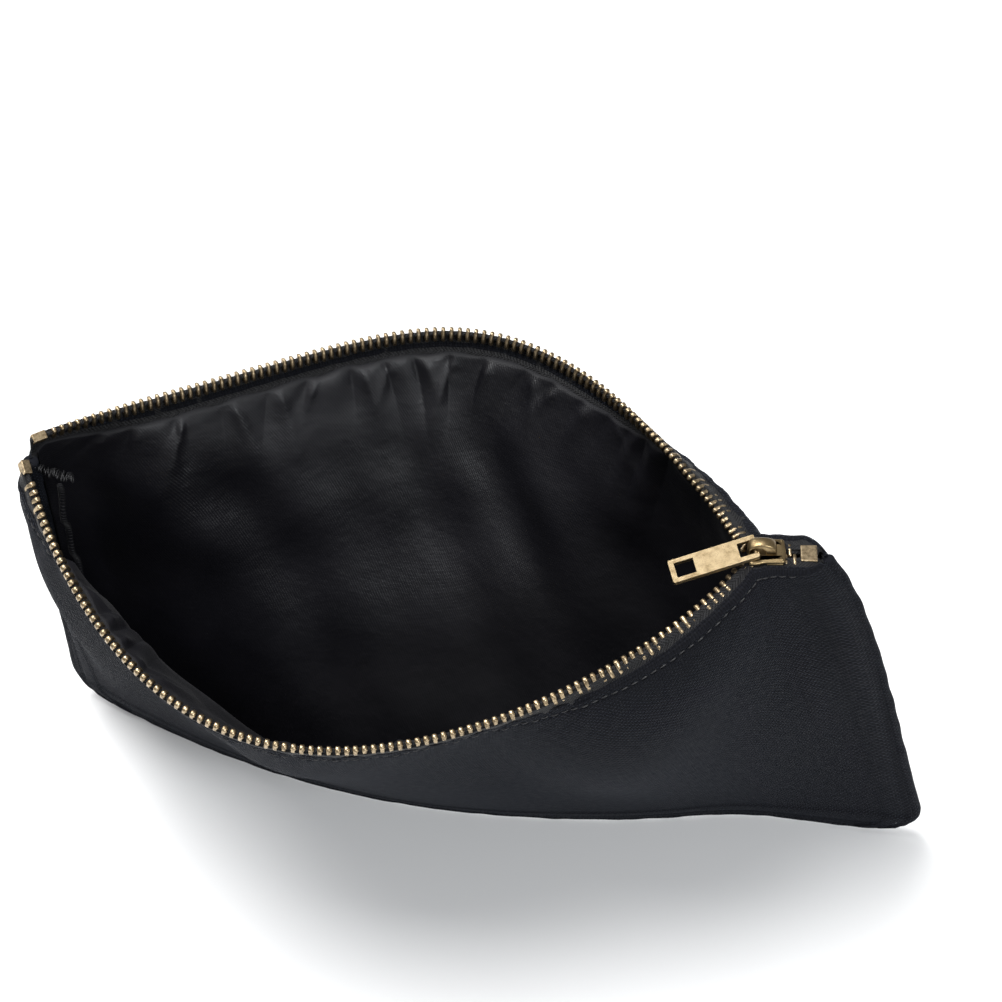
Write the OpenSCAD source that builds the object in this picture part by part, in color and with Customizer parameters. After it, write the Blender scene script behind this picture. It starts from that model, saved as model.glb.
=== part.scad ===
// Zipper pouch for carrying cash deposits: canvas shell, satin lining and a metal zipper.
// It stands on its bottom seam with the mouth pulled open. Units are millimetres, +Z is up,
// +X runs along the slider's travel towards the closed end and -Y is the front.
// The origin is the middle of the bottom seam's underside.

/* [Pouch] */
// Straight distance across the open mouth, from the left end to the slider
mouth_length = 209; // [170:1:250]
// Angle between the slider's travel and the line across the open mouth
mouth_turn = 10; // [0:1:14]
// Height of both mouth ends above the floor
mouth_height = 149; // [120:1:185]
// How far the front rim stands out from the mouth line
front_bulge = 68; // [45:1:90]
// How far the back rim stands out from the mouth line
back_bulge = 77; // [45:1:90]
// How far the front rim sags below the mouth ends
front_dip = 33; // [0:1:40]
// How far the back rim sags below the mouth ends
back_dip = 9; // [0:1:30]
// Straight distance between the two bottom corners
base_length = 274; // [250:1:300]
// Radius of the rounded bottom corners
corner_radius = 12; // [8:1:24]

/* [Cloth] */
// Thickness of the canvas, with its folded seam allowance
canvas_thickness = 0.9; // [0.5:0.1:1.4]
// Thickness of the lining
lining_thickness = 0.4; // [0.3:0.05:0.6]
// Thickness of the zipper tape
tape_thickness = 0.5; // [0.4:0.05:0.65]
// Width of tape that shows between the canvas and the teeth
tape_exposed = 5; // [4.5:0.25:8]
// Width of tape sewn in behind the canvas
tape_hidden = 8; // [4:0.5:12]

/* [Zipper] */
// Distance from one tooth to the next on the same tape
tooth_pitch = 2.5; // [2.4:0.1:3.2]
// Width of a tooth measured along the tape
tooth_width = 1.1; // [0.8:0.05:1.15]
// Length of the slider
slider_length = 11.3; // [10.5:0.1:14]
// Width of the slider at its nose
slider_width = 10; // [9.6:0.1:13]
// Length of the pull tab
tab_length = 25.2; // [20:0.1:36]
// Width of the pull tab
tab_width = 8; // [7.4:0.1:12]
// Thickness of the pull tab
tab_thickness = 1.2; // [0.8:0.1:1.4]
// Angle by which the resting pull tab hangs below level
tab_droop = 14; // [0:0.5:14]
// Angle by which the resting pull tab points off the slider's axis
tab_yaw = 12; // [0:1:12]

/* [Hidden] */
$fn = 48;

front = 0;
back = 1;

// zipper chain, measured from the line of the cord that the teeth grip
cord_radius = 0.7;
cord_gap = 1.4;            // cord line to mouth line where the teeth mesh
nose_gap = 3.0;            // cord line to mouth line where the chain leaves the slider
end_gap = 3.6;             // cord line to mouth line at the left end
merge_length = 6.5;        // distance inside the slider over which the two rows meet
tooth_tip = 1.9;
tooth_heel = 1.5;
tooth_half_height = 1.35;
tooth_slot = 0.85;         // half height of the slot that grips the cord
tooth_nose = 0.7;          // half height of the tooth's tip

stop_length = 4.4;
bottom_stop_length = 4.7;
bottom_stop_width = 5.8;
stop_half_height = 1.7;
top_stop_half_height = 1.3;
top_stop_tip = 1.2;        // reach of a top stop past the cord line
stop_clearance = 0.4;
teeth_past_slider = 1;
tail_length = 2;           // tape between the bottom stop and the side seam

closed_length = slider_length + (teeth_past_slider + 0.5) * tooth_pitch
              + stop_clearance + bottom_stop_length + tail_length;

// Seen from above, measured from the slider's nose: d runs along the mouth from its left
// end, w runs across it towards the back.
mouth_along = [cos(mouth_turn), -sin(mouth_turn)];
mouth_across = [sin(mouth_turn), cos(mouth_turn)];
function plan(d, w) = mouth_along * (d - mouth_length) + mouth_across * w;

// base seam, seen from above: a soft bow with its middle towards the front
base_lead = 4;             // reach of its left end past the mouth's
base_shape = [plan(-base_lead, 25), plan(0.44 * base_length - base_lead, -25),
              plan(0.62 * base_length - base_lead, 13), plan(base_length - base_lead, 19)];
// everything is shifted so that the middle of this seam is the origin
shift = -(base_shape[0] + 3 * base_shape[1] + 3 * base_shape[2] + base_shape[3]) / 8;
nose_x = shift[0];
nose_y = shift[1];
left_x = plan(0, 0)[0] + nose_x;
left_y = plan(0, 0)[1] + nose_y;
seam_height = 4;
seam_air = 0.7;            // the panels' outer faces lean this far down past their inner ones
seam_width = 3.4;
half_stack = 0.9;          // cloth left between the mid line and the canvas at a seam
left_lip = 4.6;            // drop of the side seams' tops below the mouth ends
right_lip = 1.2;

// distances over which the front and the back close to a side seam: at the rim, below
// the rim and in the middle of the panel
pinch_rim = 6;
pinch_upper = 24;
pinch_belly = 60;
curve_steps = 96;
cloth_columns = 44;        // cells across a panel, shared by the tape and the lining
cord_columns = 96;
seam_rows = 22;

cloth_air = 0.2;           // clearance between two layers of cloth
slider_air = 0.25;

// ---------- curves ----------
function unit(a) = a / norm(a);
function mix(a, b, t) = a + (b - a) * t;
function limit(t) = max(0, min(1, t));
function ease(t) = let (c = limit(t)) c * c * (3 - 2 * c);
// a smooth curve pulled towards its handles by the binomial weights
function choose(n, k) = k == 0 ? 1 : choose(n, k - 1) * (n - k + 1) / k;
function total(list, i = 0) = i == len(list) - 1 ? list[i] : list[i] + total(list, i + 1);
function bezier(p, t) = let (n = len(p) - 1)
    total([for (k = [0 : n]) p[k] * choose(n, k) * pow(1 - t, n - k) * pow(t, k)]);
function sign_of(side) = side == front ? -1 : 1;

// lengths along a curve: rows of [distance from the start, curve parameter]
function lengths(p) = [
    for (i = 0, d = 0; i <= curve_steps;
         d = d + norm(bezier(p, (i + 1) / curve_steps) - bezier(p, i / curve_steps)), i = i + 1)
        [d, i / curve_steps]];

// each rim is one curve; a handle's three numbers are its share of the mouth length, of the
// bulge and of the dip
handles = [
    [[0.162, 0.965, 0.62], [0.414, 1.47, 1.28], [0.596, 0.73, 1.22], [0.857, 0.745, 0.63]],
    [[0.144, 0.46, 0.42], [0.531, 0.82, 1.22], [0.457, 1.75, 1.22], [0.881, 0.62, 1.05]]];
bulges = [front_bulge, back_bulge];
dips = [front_dip, back_dip];
function at_height(p, z) = [p[0] + nose_x, p[1] + nose_y, z];
function rim(side) = let (k = sign_of(side))
    concat([at_height(plan(0, k * end_gap), mouth_height)],
           [for (h = handles[side])
               at_height(plan(h[0] * mouth_length, k * h[1] * bulges[side]),
                         mouth_height - h[2] * dips[side])],
           [[nose_x, nose_y + k * nose_gap, mouth_height]]);
rims = [rim(front), rim(back)];
rim_tables = [lengths(rims[front]), lengths(rims[back])];
open_lengths = [rim_tables[front][curve_steps][0], rim_tables[back][curve_steps][0]];
function chain_length(side) = open_lengths[side] + closed_length;

// the cord line of one tape, at a distance s from its left end
function chain(side, s) = s <= open_lengths[side]
    ? bezier(rims[side], lookup(s, rim_tables[side]))
    : let (past = s - open_lengths[side])
      [nose_x + past,
       nose_y + sign_of(side) * mix(nose_gap, cord_gap, limit(past / merge_length)),
       mouth_height];
function along(side, s, h = 0.6) =
    unit(chain(side, min(s + h, chain_length(side))) - chain(side, max(s - h, 0)));

// the tape lies flat at the closed end and stands up round the open mouth
stand_left = 62;
stand_open = [114, 108];
function stand(side, s) =
    let (left_ramp = ease(s / 45), right_ramp = ease((open_lengths[side] - s + 2) / 95))
    mix(stand_left, stand_open[side], left_ramp) * right_ramp;
// square to the chain's mean course over a span to both sides, raised by an angle
function raised(side, s, span, angle) = let (t = along(side, s, span), k = -sign_of(side))
    unit([-k * t[1], k * t[0], 0]) * cos(angle) + [0, 0, sin(angle)];
function reach(side, s) =
    let (t = along(side, s), raw = raised(side, s, 0.6, stand(side, s)))
    unit(raw - t * (raw * t));

// ---------- cloth surface ----------
base_curve = [for (p = base_shape) p + shift];
base_table = lengths(base_curve);
base_run = base_table[curve_steps][0];
base_wave = 3;             // depth of a slight wave near the right corner
function base_at(u) = let (p = bezier(base_curve, lookup(u * base_run, base_table)))
    [p[0], p[1] + base_wave * exp(-pow((u - 0.8) / 0.09, 2)), seam_height + seam_air];

left_top = [left_x + 1.5, left_y, mouth_height - left_lip];
right_top = [nose_x + closed_length, nose_y, mouth_height - right_lip];
function pinch(side, u, length) = ease(min(u, 1 - u) * chain_length(side) / length);

// The cloth turns the corner at the slider's nose more softly than the chain does.
lip_span = 5;
fall_span = 14;

// upper edge of the canvas, where the tape comes out of it
function lip(side, u) =
    let (s = u * chain_length(side),
         free = chain(side, s) - raised(side, s, lip_span, stand(side, s)) * tape_exposed,
         seam = (u < 0.5 ? left_top : right_top) + [0, sign_of(side) * half_stack, 0])
    mix(seam, free, pinch(side, u, pinch_rim));

// the canvas hangs from the lip a little steeper than the tape lies
function fall(side, s) = let (a = stand(side, s))
    raised(side, s, fall_span, mix(68, a, limit(a / 110)));

// bottom corners: the panel narrows along a quarter circle of corner_radius
function inset(v) = let (h = v * (mouth_height - seam_height))
    h >= corner_radius ? 0 : corner_radius - sqrt(max(0, corner_radius * corner_radius
                                                       - pow(corner_radius - h, 2)));
function squeeze(u, v) = 0.5 + (u - 0.5) * (1 - 2 * inset(v) / base_run);

// canvas inside face: a cubic from the bottom seam up to the lip
belly = [1, 4];
end_swell = [0, 9];        // how far the left and right edges curve out below the mouth ends
function cloth(side, u0, v) =
    let (u = squeeze(u0, v), k = sign_of(side),
         low = base_at(u) + [0, k * half_stack, 0],
         high = lip(side, u),
         s = u * chain_length(side),
         upper = pinch(side, u, pinch_upper),
         lead = mix(26, 40, ease(stand(side, s) / 90)) * upper,
         full = belly[side] * pinch(side, u, pinch_belly),
         swell = u < 0.5 ? -end_swell[0] : end_swell[1],
         near_end = 1 - pinch(side, u, pinch_belly),
         first = mix(low, high, 0.33) + [0, k * full, 0],
         second = mix(mix(low, high, 0.8), high - fall(side, s) * lead, upper)
                + [swell * near_end, 0, 0])
    bezier([low, first, second, high], v);
function cloth_normal(side, u, v) =
    let (h = 0.004,
         across = cloth(side, min(u + h, 1), v) - cloth(side, max(u - h, 0), v),
         upward = cloth(side, u, min(v + h, 1)) - cloth(side, u, max(v - h, 0)))
    unit(cross(across, upward)) * -sign_of(side);
function layer(side, u, v, away) = cloth(side, u, v) + cloth_normal(side, u, v) * away;

// rows of the panels, closer together at the rounded corners and under the rim
rows_low = [0, 0.012, 0.035, 0.07, 0.115];
function below_lip(w) = 1 - w / mouth_height;
tape_foot = below_lip(tape_hidden + 1.6);
cloth_rows = concat(rows_low, [for (i = [1 : 7]) mix(0.115, tape_foot, i / 7)]);

// ---------- solids from grids ----------
// outer and inner are equal grids of points; the solid closes their four edges
module slab(outer, inner, flip) {
    m = len(outer);
    n = len(outer[0]);
    pts = concat([for (r = outer) each r], [for (r = inner) each r]);
    q = m * n;
    faces = concat(
        [for (i = [0 : m - 2]) for (j = [0 : n - 2]) each
            let (a = i * n + j, b = a + 1, c = a + n + 1, d = a + n) [[a, b, c], [a, c, d]]],
        [for (i = [0 : m - 2]) for (j = [0 : n - 2]) each
            let (a = q + i * n + j, b = a + 1, c = a + n + 1, d = a + n) [[c, b, a], [d, c, a]]],
        [for (i = [0 : m - 2]) each
            let (a = i * n, d = a + n) [[a, d, q + d], [a, q + d, q + a]]],
        [for (i = [0 : m - 2]) each
            let (a = i * n + n - 1, d = a + n) [[d, a, q + a], [d, q + a, q + d]]],
        [for (j = [0 : n - 2]) each
            let (b = j + 1) [[b, j, q + j], [b, q + j, q + b]]],
        [for (j = [0 : n - 2]) each
            let (a = (m - 1) * n + j, b = a + 1) [[a, b, q + b], [a, q + b, q + a]]]);
    polyhedron(points = pts, faces = flip ? [for (f = faces) [f[2], f[1], f[0]]] : faces);
}

// rings of equal point counts joined into a tube with closed ends
module tube(rings) {
    m = len(rings);
    n = len(rings[0]);
    faces = concat(
        [for (i = [0 : m - 2]) for (j = [0 : n - 1]) each
            let (a = i * n + j, b = i * n + (j + 1) % n) [[a, b, b + n], [a, b + n, a + n]]],
        [[for (j = [0 : n - 1]) n - 1 - j]],
        [[for (j = [0 : n - 1]) (m - 1) * n + j]]);
    polyhedron(points = [for (r = rings) each r], faces = faces);
}

// columns shared by the panel, the tape and the lining, so that their facets lie parallel
function columns(side) = let (run = chain_length(side))
    concat([0, 1.2 / run, 3 / run], [for (i = [1 : cloth_columns - 1]) i / cloth_columns],
           [1 - 3 / run, 1 - 1.5 / run, 1]);
function inner(list, skip) = [for (i = [skip : len(list) - 1 - skip]) list[i]];

module panel(side) {
    rows = concat(cloth_rows, [below_lip(tape_hidden / 2), 1]);
    slab([for (v = rows) [for (u = columns(side)) layer(side, u, v, canvas_thickness)]],
         [for (v = rows) [for (u = columns(side)) layer(side, u, v, 0)]],
         side == front);
}

// the lining hangs inside: its top edge covers the sewn part of the tape, and below the tape
// it steps back against the canvas. Rows are [height share, distance in from the canvas].
lining_drop = 2.2;         // drop of the lining's top edge below the canvas edge
over_tape = tape_thickness + 2 * cloth_air;
lining_rows = concat(
    [for (v = cloth_rows) if (v > 0) [v, cloth_air]],
    [for (w = [tape_hidden + 0.4, tape_hidden / 2, lining_drop]) [below_lip(w), over_tape]]);
module lining(side) {
    wide = inner(columns(side), 3);
    slab([for (r = lining_rows) [for (u = wide) layer(side, u, r[0], -r[1])]],
         [for (r = lining_rows) [for (u = wide) layer(side, u, r[0], -r[1] - lining_thickness)]],
         side == front);
}

// tape: w runs from 0 at the canvas edge to 1 just short of the cord; behind the canvas it is
// negative and counts millimetres. The tape stops sooner under a top stop.
function cord_air(s) = mix(tooth_heel, cord_radius, ease((s - stop_length - 1) / 2)) + 0.3;
function tape_point(side, u, w, away) =
    let (s = u * chain_length(side), k = sign_of(side),
         edge = lip(side, u),
         cord = chain(side, s),
         up = unit(cord - edge),
         face = unit(cross(along(side, s), up)) * -k)
    w < 0 ? layer(side, u, below_lip(-w), away - cloth_air - tape_thickness)
          : mix(edge, cord - up * cord_air(s), w) + face * (away - cloth_air - tape_thickness);
module tape(side) {
    rows = [-tape_hidden, -tape_hidden / 2, -0.6, 0.35, 1];
    wide = inner(columns(side), 1);
    slab([for (w = rows) [for (u = wide) tape_point(side, u, w, tape_thickness)]],
         [for (w = rows) [for (u = wide) tape_point(side, u, w, 0)]],
         side == front);
}

// a frame on the chain: the tape's mid plane carries the cord and the teeth
function cord_centre(side, s) =
    let (t = along(side, s), r = reach(side, s), k = -sign_of(side))
    chain(side, s) - unit(cross(t, r)) * k * (cloth_air + tape_thickness / 2);
module tape_cord(side) {
    run = chain_length(side);
    tube([for (i = [0 : cord_columns])
        let (s = mix(0.8, run - 1.5, i / cord_columns),
             c = cord_centre(side, s), r = reach(side, s), n = cross(along(side, s), r))
        [for (j = [0 : 5]) c + r * cord_radius * cos(60 * j) + n * cord_radius * sin(60 * j)]]);
}

// places a child on the chain: +X along it, +Y towards the other row, +Z across the tape
module on_chain(side, s) {
    x = along(side, s);
    y = reach(side, s);
    z = cross(x, y);
    translate(cord_centre(side, s))
        rotate([atan2(y[2], z[2]), -asin(x[2]), atan2(x[1], x[0])])
            children();
}

module tooth() {
    rotate([90, 0, 90])
        translate([0, 0, -tooth_width / 2])
            linear_extrude(tooth_width)
                polygon([[-tooth_heel, -tooth_half_height],
                         [0.7, -tooth_half_height],
                         [tooth_tip, -tooth_nose],
                         [tooth_tip, tooth_nose],
                         [0.7, tooth_half_height],
                         [-tooth_heel, tooth_half_height],
                         [-tooth_heel, tooth_slot],
                         [cord_radius + 0.1, tooth_slot],
                         [cord_radius + 0.1, -tooth_slot],
                         [-tooth_heel, -tooth_slot]]);
}

stop_tail = bottom_stop_length + stop_clearance + tail_length;
module teeth(side) {
    run = chain_length(side);
    start = stop_length + 1.4 + tooth_width;
    phase = stop_tail + tooth_pitch * (side == front ? 0.5 : 1);
    count = floor((run - phase - start) / tooth_pitch);
    for (i = [0 : count])
        on_chain(side, run - phase - i * tooth_pitch)
            tooth();
}

module top_stop(side) {
    on_chain(side, 1 + stop_length / 2)
        difference() {
            translate([-stop_length / 2, -tooth_heel, -top_stop_half_height])
                cube([stop_length, tooth_heel + top_stop_tip, 2 * top_stop_half_height]);
            translate([-stop_length, -2 * tooth_heel, -tooth_slot])
                cube([2 * stop_length, 2 * tooth_heel + cord_radius + 0.15, 2 * tooth_slot]);
        }
}

module bottom_stop() {
    translate([nose_x + closed_length - tail_length - bottom_stop_length, nose_y, 0])
        difference() {
            translate([0, -bottom_stop_width / 2, row_z - stop_half_height])
                cube([bottom_stop_length, bottom_stop_width, 2 * stop_half_height]);
            for (k = [-1, 1])
                translate([-1, k * (bottom_stop_width / 2 + 0.55) - bottom_stop_width / 2,
                           row_z - tooth_slot])
                    cube([bottom_stop_length + 2, bottom_stop_width, 2 * tooth_slot]);
        }
}

// the rows lie half a tape below the mouth line where both tapes are level
row_z = mouth_height - cloth_air - tape_thickness / 2;

// ---------- seams ----------
seam_radius = 1.5;
seam_out = 1.2;              // from the panels' join to the ridge's nearest face
function seam_path(u, v) =
    (cloth(front, u, v) + cloth(back, u, v)) / 2
    + [(u < 0.5 ? -1 : 1) * (seam_radius + seam_out), 0, 0];
module side_seam(u) {
    rows = [for (i = [0 : seam_rows]) mix(0.012, 0.975, pow(i / seam_rows, 1.3))];
    tube([for (i = [0 : seam_rows])
        let (c = seam_path(u, rows[i]),
             t = unit(seam_path(u, min(rows[i] + 0.01, 1)) - seam_path(u, max(rows[i] - 0.01, 0))),
             a = unit(cross(t, [0, 1, 0])), b = cross(t, a))
        [for (j = [0 : 7]) c + (a * cos(45 * j) + b * sin(45 * j)) * seam_radius]]);
}

module bottom_seam() {
    first = inset(0) / base_run;
    count = 40;
    function seam_side(k) = [for (i = [0 : count])
        let (u = mix(first, 1 - first, i / count), a = base_at(u),
             b = base_at(min(u + 0.004, 1)) - base_at(max(u - 0.004, 0)), d = unit([b[0], b[1]]))
        [a[0] - d[1] * k * seam_width / 2, a[1] + d[0] * k * seam_width / 2]];
    right = seam_side(-1);
    left = seam_side(1);
    linear_extrude(seam_height - 0.1)
        polygon(concat(right, [for (i = [0 : count]) left[count - i]]));
}

// straight stitches along the canvas edge, each a small thread bar
stitch_length = 2.1;
stitch_pitch = 2.9;
stitch_drop = 2.2;
stitch_air = 0.55;         // middle of a stitch above the canvas
stitch_margin = 12;
module stitching(side) {
    run = chain_length(side);
    count = floor((run - 2 * stitch_margin) / stitch_pitch);
    v = 1 - stitch_drop / mouth_height;
    for (i = [0 : count]) {
        u = (stitch_margin + i * stitch_pitch) / run;
        p = layer(side, u, v, canvas_thickness + stitch_air);
        x = unit(cloth(side, u + 0.004, v) - cloth(side, u - 0.004, v));
        z = cloth_normal(side, u, v);
        y = cross(z, x);
        translate(p)
            rotate([atan2(y[2], z[2]), -asin(x[2]), atan2(x[1], x[0])])
                cube([stitch_length, 0.4, 0.3], center = true);
    }
}

// overlocked edge of the lining's side seam, standing inside each end of the pouch
lining_seam_in = 17;       // distance in from the pouch's side seam
lining_seam_half = 1.2;
module lining_seam(u, toward) {
    rows = [for (i = [0 : 12]) mix(0.25, 0.9, i / 12)];
    beside = u + toward * lining_seam_in / base_run;
    tube([for (v = rows)
        let (c = (cloth(front, beside, v) + cloth(back, beside, v)) / 2, w = lining_seam_half)
        [c + [-w, -0.5, 0], c + [w, -0.5, 0], c + [w, 0.5, 0], c + [-w, 0.5, 0]]]);
}

module bartack() {
    c = (lip(front, 9 / chain_length(front)) + lip(back, 9 / chain_length(back))) / 2;
    translate(c + [5, 0, -3])
        rotate([0, 25, 0])
            cube([5.5, 3, 2], center = true);
}

// ---------- slider ----------
plate_gap = tooth_half_height + slider_air;
plate_thickness = 1.0;
flange_inner = cord_gap + tooth_heel + 2 * slider_air;
flange_start = 5.8;
flange_reach = 0.75;
tail_width = 2 * (flange_inner + 0.9);
shoulder = 3.2;            // length of the flared nose
crown_centre = 4.6;        // middle of the crown, from the nose
crown_width = 3.2;
crown_half = 4.0;
crown_height = 3.9;
bar_x = 2.4;               // bar centre, from the nose
bar_radius = 0.8;
bar_lift = 1.25;           // bar centre above the upper plate
crown_window = [-1.3, 3.4];    // ends of the window, from the bar
crown_window_height = 2.1;
bar_z = row_z + plate_gap + plate_thickness + bar_lift;

module slider_outline() {
    w = slider_width / 2;
    t = tail_width / 2;
    polygon([[1.1, -w * 0.55], [0.5, -w * 0.8], [0.7, -w * 0.96], [1.4, -w],
             [shoulder, -w * 0.97], [shoulder + 1.6, -t],
             [slider_length - 0.8, -t], [slider_length, -t + 0.8],
             [slider_length, t - 0.8], [slider_length - 0.8, t],
             [shoulder + 1.6, t], [shoulder, w * 0.97],
             [1.4, w], [0.7, w * 0.96], [0.5, w * 0.8], [1.1, w * 0.55]]);
}
module slider_body() {
    translate([nose_x, nose_y, row_z]) {
        for (k = [-1, 1])
            translate([0, 0, k * (plate_gap + plate_thickness / 2) - plate_thickness / 2])
                linear_extrude(plate_thickness)
                    slider_outline();
        // side flanges hold the teeth from the waist to the tail
        for (k = [-1, 1])
            for (m = [-1, 1])
                translate([flange_start,
                           m > 0 ? flange_inner : -flange_inner - 0.9,
                           k > 0 ? flange_reach : -plate_gap])
                    cube([slider_length - flange_start - 0.8, 0.9, plate_gap - flange_reach]);
        // wedge between the two rows at the nose
        translate([0, 0, -plate_gap])
            linear_extrude(2 * plate_gap)
                polygon([[0.9, -0.5], [0.9, 0.5], [2.4, 0.12], [2.4, -0.12]]);
    }
}

module slider_crown() {
    arch = [for (a = [0 : 15 : 180])
        [crown_centre + crown_half * cos(a), crown_height * pow(sin(a), 0.6)]];
    translate([nose_x, nose_y + crown_width / 2, row_z + plate_gap + plate_thickness])
        rotate([90, 0, 0])
            linear_extrude(crown_width)
                difference() {
                    polygon(arch);
                    translate([bar_x + crown_window[0], bar_lift - crown_window_height / 2])
                        square([crown_window[1] - crown_window[0], crown_window_height]);
                }
}

// ---------- pull tab ----------
hinge_width = crown_width + 1.7;           // clear width of the hinge window
hinge_edge = 4.5;                          // bar centre to the far edge of that window
end_window = [5.6, 5.2];
end_border = 1.5;         // metal left beyond the end window
module tab_plate() {
    w = tab_width / 2;
    c = 0.35;
    far = tab_length - bar_radius;
    difference() {
        polygon([[-bar_radius, -w + c], [-bar_radius + c, -w], [far - c, -w], [far, -w + c],
                 [far, w - c], [far - c, w], [-bar_radius + c, w], [-bar_radius, w - c]]);
        translate([bar_radius, -hinge_width / 2])
            square([hinge_edge - bar_radius, hinge_width]);
        translate([far - end_border - end_window[0], -end_window[1] / 2])
            square(end_window);
        translate([-bar_radius - 1, -hinge_width / 2])
            square([2 * bar_radius + 1.01, hinge_width]);
    }
}
module pull_tab() {
    translate([nose_x + bar_x, nose_y, bar_z])
        rotate([0, 0, 180 + tab_yaw])
            rotate([0, tab_droop, 0]) {
                translate([0, 0, -tab_thickness / 2])
                    linear_extrude(tab_thickness)
                        tab_plate();
                rotate([90, 0, 0])
                    translate([0, 0, -hinge_width / 2 - 0.2])
                        cylinder(r = bar_radius, h = hinge_width + 0.4);
            }
}

color([0.09, 0.10, 0.13]) panel(front);  // front_panel
color([0.09, 0.10, 0.13]) panel(back);  // back_panel
color([0.03, 0.03, 0.05]) lining(front);  // front_lining
color([0.03, 0.03, 0.05]) lining(back);  // back_lining
color([0.06, 0.06, 0.07]) tape(front);  // front_tape
color([0.06, 0.06, 0.07]) tape(back);  // back_tape
color([0.07, 0.07, 0.08]) tape_cord(front);  // front_tape_cord
color([0.07, 0.07, 0.08]) tape_cord(back);  // back_tape_cord
color([0.55, 0.44, 0.26]) teeth(front);  // front_teeth
color([0.55, 0.44, 0.26]) teeth(back);  // back_teeth
color([0.5, 0.4, 0.24]) top_stop(front);  // front_top_stop
color([0.5, 0.4, 0.24]) top_stop(back);  // back_top_stop
color([0.5, 0.4, 0.24]) bottom_stop();
color([0.08, 0.09, 0.12]) side_seam(0);  // left_side_seam
color([0.08, 0.09, 0.12]) side_seam(1);  // right_side_seam
color([0.08, 0.09, 0.12]) bottom_seam();
color([0.05, 0.05, 0.06]) stitching(front);  // front_stitching
color([0.05, 0.05, 0.06]) stitching(back);  // back_stitching
color([0.04, 0.04, 0.05]) lining_seam(0, 1);  // left_lining_seam
color([0.04, 0.04, 0.05]) lining_seam(1, -1);  // right_lining_seam
color([0.05, 0.05, 0.06]) bartack();  // left_bartack
color([0.5, 0.4, 0.24]) slider_body();
color([0.5, 0.4, 0.24]) slider_crown();
color([0.52, 0.43, 0.28]) pull_tab();
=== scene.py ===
"""Looks of the canvas zipper pouch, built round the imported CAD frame.

Shapes are worked out in millimetres, in the frame's own axes: +X along the slider's travel
towards the closed end, -Y the front, +Z up, origin at the middle of the bottom seam's
underside. They are scaled to metres when a mesh is made.
"""
import math
from math import comb

import bmesh
import bpy
import numpy as np
from mathutils import Matrix, Vector


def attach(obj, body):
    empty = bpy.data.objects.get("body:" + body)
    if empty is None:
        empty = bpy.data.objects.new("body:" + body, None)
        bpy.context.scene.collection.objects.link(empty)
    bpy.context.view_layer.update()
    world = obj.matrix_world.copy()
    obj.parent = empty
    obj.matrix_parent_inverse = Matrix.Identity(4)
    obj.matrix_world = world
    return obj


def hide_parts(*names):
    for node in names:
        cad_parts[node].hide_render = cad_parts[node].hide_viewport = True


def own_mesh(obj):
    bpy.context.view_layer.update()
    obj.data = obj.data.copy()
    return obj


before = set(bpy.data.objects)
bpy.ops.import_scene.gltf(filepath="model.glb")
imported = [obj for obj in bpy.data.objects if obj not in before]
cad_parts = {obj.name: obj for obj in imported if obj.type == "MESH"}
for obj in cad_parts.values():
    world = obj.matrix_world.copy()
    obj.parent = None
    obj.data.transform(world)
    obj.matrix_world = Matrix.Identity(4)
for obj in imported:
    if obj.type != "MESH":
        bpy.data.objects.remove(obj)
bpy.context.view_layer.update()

MM = 0.001
FRONT, BACK = 0, 1
SIGN = (-1.0, 1.0)

# ------------------------------------------- sizes, as in the CAD source; pairs are front, back
MOUTH_LENGTH = 209.0
MOUTH_TURN = math.radians(10.0)
MOUTH_HEIGHT = 149.0
BULGE = (68.0, 77.0)             # how far a rim stands out from the mouth line
DIP = (33.0, 9.0)                # how far a rim sags below the mouth's ends
BASE_LENGTH = 274.0
BASE_LEAD = 4.0                  # reach of the base's left end past the mouth's
CORNER_RADIUS = 12.0
CANVAS = 0.9
TAPE_THICK = 0.5
TAPE_SHOWN = 5.0                 # tape between the canvas and the teeth
CLOTH_AIR = 0.2                  # clearance between two layers of cloth
PITCH = 2.5
TOOTH_WIDTH = 1.1
CORD_GAP = 1.4                   # cord line to mouth line where the teeth mesh
NOSE_GAP = 3.0                   # the same at the slider's nose
END_GAP = 3.6                    # the same at the left end
MERGE = 6.5                      # distance inside the slider over which the rows meet
SLIDER_LENGTH = 11.3
TOP_STOP, BOTTOM_STOP = 4.4, 4.7
STOP_AIR = 0.4
TAIL = 2.0                       # tape between the bottom stop and the side seam
PITCHES_PAST_SLIDER = 1.5
CLOSED = SLIDER_LENGTH + PITCHES_PAST_SLIDER * PITCH + STOP_AIR + BOTTOM_STOP + TAIL
HALF_STACK = 0.9                 # cloth between the mid line and the canvas at a seam
SEAM_HEIGHT, SEAM_AIR = 4.0, 0.7
LEFT_LIP, RIGHT_LIP = 4.6, 1.2   # drop of the side seams' tops below the mouth's ends
LEFT_LIP_IN = 1.5
# a handle's three numbers are its share of the mouth length, of the bulge and of the dip
HANDLES = (((0.162, 0.965, 0.62), (0.414, 1.47, 1.28), (0.596, 0.73, 1.22),
            (0.857, 0.745, 0.63)),
           ((0.144, 0.46, 0.42), (0.531, 0.82, 1.22), (0.457, 1.75, 1.22), (0.881, 0.62, 1.05)))
STAND_LEFT = 62.0                # degrees that the tape stands up at the left end
STAND_OPEN = (114.0, 108.0)      # and round the open mouth
LEFT_RAMP, RIGHT_RAMP, RAMP_LEAD = 45.0, 95.0, 2.0
FALL_LEVEL = 68.0                # slope of the cloth under a level tape
FALL_FULL = 110.0                # from this angle of the tape on, the cloth follows it
BELLY = (1.0, 4.0)
END_SWELL = 9.0                  # how far the right end's middle swells
BASE_WAVE, WAVE_PLACE, WAVE_SPREAD = 3.0, 0.8, 0.09
LIP_SPAN, FALL_SPAN = 5.0, 14.0  # stretches of rim over which its course is averaged
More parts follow.
